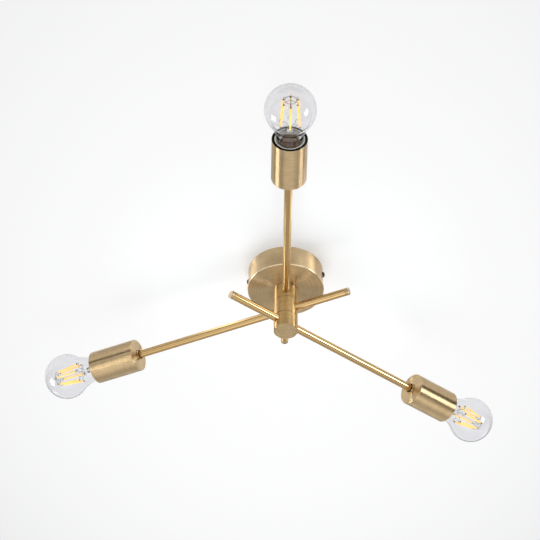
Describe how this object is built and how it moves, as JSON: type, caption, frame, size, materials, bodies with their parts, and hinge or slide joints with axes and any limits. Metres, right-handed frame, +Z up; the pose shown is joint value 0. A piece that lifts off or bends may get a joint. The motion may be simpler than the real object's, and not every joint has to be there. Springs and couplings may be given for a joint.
{
  "type": "semi flush ceiling light",
  "caption": "Brushed brass ceiling light whose straight arms swivel in stacked hubs under a round canopy, each arm holding a clear filament bulb in a plain cup.",
  "frame": {"origin": "centre of the canopy's mounting plane on the ceiling, between the two ceiling screws", "axes": "+Z up into the ceiling along the hubs' axis; the arm of the top hub points towards -Y at rest"},
  "size_m": [0.6001, 0.5813, 0.1169],
  "materials": {
    "brushed_brass": "brushed satin",
    "polished_brass": "polished",
    "machined_brass": "machined",
    "black_phenolic": "moulded",
    "black_fibre": "pressed fibre",
    "blackened_steel": "blackened",
    "zinc_steel": "zinc plated",
    "white_ceramic": "glazed",
    "lead_insulation": "sleeved",
    "copper_shell": "rolled",
    "nickel_cap": "plated",
    "black_glass": "glossy",
    "clear_glass": "clear",
    "amber_filament": "coated"
  },
  "bodies": {
    "canopy": {"canopy": "brushed_brass", "ceiling_bracket": "zinc_steel", "canopy_screws": "blackened_steel", "terminal_block": "white_ceramic", "terminal_screws": "machined_brass", "canopy_leads": "lead_insulation", "swivel_stem_1": "machined_brass", "stem_nut_1": "machined_brass", "friction_washer_1": "black_fibre"},
    "arm_1": {"hub_1": "brushed_brass", "hub_cover_1": "brushed_brass", "rod_1": "polished_brass", "end_plug_1": "polished_brass", "collar_1": "polished_brass", "rod_bush_1": "black_phenolic", "cup_1": "brushed_brass", "lampholder_1": "black_phenolic", "screw_shell_1": "copper_shell", "centre_contact_1": "copper_shell", "swivel_stem_2": "machined_brass", "stem_nut_2": "machined_brass", "friction_washer_2": "black_fibre"},
    "arm_2": {"hub_2": "brushed_brass", "hub_cover_2": "brushed_brass", "rod_2": "polished_brass", "end_plug_2": "polished_brass", "collar_2": "polished_brass", "rod_bush_2": "black_phenolic", "cup_2": "brushed_brass", "lampholder_2": "black_phenolic", "screw_shell_2": "copper_shell", "centre_contact_2": "copper_shell", "friction_washer_3": "black_fibre"},
    "arm_3": {"hub_3": "brushed_brass", "hub_cover_3": "brushed_brass", "rod_3": "polished_brass", "end_plug_3": "polished_brass", "collar_3": "polished_brass", "rod_bush_3": "black_phenolic", "cup_3": "brushed_brass", "lampholder_3": "black_phenolic", "screw_shell_3": "copper_shell", "centre_contact_3": "copper_shell", "swivel_stem_3": "machined_brass", "stem_nut_3": "machined_brass"},
    "bulb_1_tip": {"bulb_tip_1": "black_glass"},
    "bulb_1": {"bulb_glass_1": "clear_glass", "bulb_cap_1": "nickel_cap", "bulb_stem_1": "clear_glass", "bulb_filaments_1": "amber_filament"},
    "bulb_2_tip": {"bulb_tip_2": "black_glass"},
    "bulb_2": {"bulb_glass_2": "clear_glass", "bulb_cap_2": "nickel_cap", "bulb_stem_2": "clear_glass", "bulb_filaments_2": "amber_filament"},
    "bulb_3_tip": {"bulb_tip_3": "black_glass"},
    "bulb_3": {"bulb_glass_3": "clear_glass", "bulb_cap_3": "nickel_cap", "bulb_stem_3": "clear_glass", "bulb_filaments_3": "amber_filament"}
  },
  "joints": [
    {"name": "arm_1_swivel", "type": "hinge", "parent": "canopy", "child": "arm_1", "pos_m": [0, 0, -0.0443], "axis": [0, 0, 1], "range_deg": [-160, 160]},
    {"name": "arm_2_swivel", "type": "hinge", "parent": "arm_1", "child": "arm_2", "pos_m": [0, 0, -0.0656], "axis": [0, 0, 1], "range_deg": [-50, 50]},
    {"name": "arm_3_swivel", "type": "hinge", "parent": "arm_2", "child": "arm_3", "pos_m": [0, 0, -0.0869], "axis": [0, 0, 1], "range_deg": [-50, 50]},
    {"name": "bulb_1_travel", "type": "slide", "parent": "arm_1", "child": "bulb_1_tip", "axis": [0.0175, -0.9998, 0], "range_m": [0, 0.01815]},
    {"name": "bulb_1_turn", "type": "hinge", "parent": "bulb_1_tip", "child": "bulb_1", "pos_m": [0.00559, -0.32025, -0.0443], "axis": [0.0175, -0.9998, 0], "range_deg": [0, 1800]},
    {"name": "bulb_2_travel", "type": "slide", "parent": "arm_2", "child": "bulb_2_tip", "axis": [-0.9078, 0.4195, 0], "range_m": [0, 0.01815]},
    {"name": "bulb_2_turn", "type": "hinge", "parent": "bulb_2_tip", "child": "bulb_2", "pos_m": [-0.29076, 0.13435, -0.0656], "axis": [-0.9078, 0.4195, 0], "range_deg": [0, 1800]},
    {"name": "bulb_3_travel", "type": "slide", "parent": "arm_3", "child": "bulb_3_tip", "axis": [0.7782, 0.628, 0], "range_m": [0, 0.01815]},
    {"name": "bulb_3_turn", "type": "hinge", "parent": "bulb_3_tip", "child": "bulb_3", "pos_m": [0.24927, 0.20114, -0.0869], "axis": [0.7782, 0.628, 0], "range_deg": [0, 1800]}
  ],
  "couplings": [
    {"joint": "bulb_1_travel", "follows": "bulb_1_turn", "m_per_rad": 0.00057773},
    {"joint": "bulb_2_travel", "follows": "bulb_2_turn", "m_per_rad": 0.00057773},
    {"joint": "bulb_3_travel", "follows": "bulb_3_turn", "m_per_rad": 0.00057773}
  ]
}
